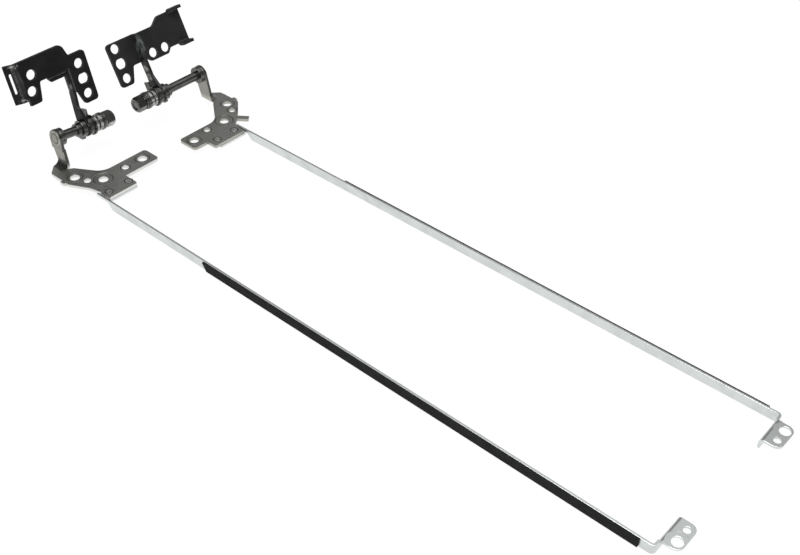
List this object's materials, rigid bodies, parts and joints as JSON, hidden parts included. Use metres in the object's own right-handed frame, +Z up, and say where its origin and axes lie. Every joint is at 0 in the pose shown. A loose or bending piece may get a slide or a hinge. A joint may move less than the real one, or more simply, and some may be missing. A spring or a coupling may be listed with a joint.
{
  "type": "laptop hinge pair",
  "caption": "Left and right laptop screen hinges: black base brackets on friction shafts, grey lid brackets and long bright side rails with black foam strips.",
  "frame": {"origin": "on the table, under the middle of the pair's box", "axes": "+Y runs along the rails from the hinges to their feet, +X points to the right hinge, which is the one nearer the camera, and +Z is up"},
  "size_m": [0.0706, 0.2344, 0.037],
  "materials": {
    "black_paint": "satin black coat",
    "dark_nickel": "dull nickel plate",
    "bright_zinc": "bright zinc plate",
    "black_foam": "matte foam",
    "black_oxide": "black oxide with a film of grease",
    "spring_steel": "bright spring steel"
  },
  "bodies": {
    "lid_side": {"right_lid_bracket": "dark_nickel", "right_rail": "bright_zinc", "right_gasket": "black_foam", "right_shaft": "black_oxide", "right_stop_washer": "black_oxide", "right_spring_washers": "spring_steel", "right_pressure_washer": "black_oxide", "right_nut": "black_oxide", "left_lid_bracket": "dark_nickel", "left_rail": "bright_zinc", "left_gasket": "black_foam", "left_shaft": "black_oxide", "left_stop_washer": "black_oxide", "left_spring_washers": "spring_steel", "left_pressure_washer": "black_oxide", "left_nut": "black_oxide"},
    "right_base": {"right_base_bracket": "black_paint", "right_friction_washer": "black_oxide", "right_hook_washer": "spring_steel"},
    "left_base": {"left_base_bracket": "black_paint", "left_friction_washer": "black_oxide", "left_hook_washer": "spring_steel"}
  },
  "joints": [
    {"name": "right_hinge", "type": "hinge", "parent": "lid_side", "child": "right_base", "pos_m": [0.0175, -0.10767, 0.01117], "axis": [0.9954, 0, 0.0958], "range_deg": [-102, 36]},
    {"name": "left_hinge", "type": "hinge", "parent": "lid_side", "child": "left_base", "pos_m": [-0.01167, -0.10497, 0.0118], "axis": [1, 0, 0], "range_deg": [-113, 25]}
  ]
}
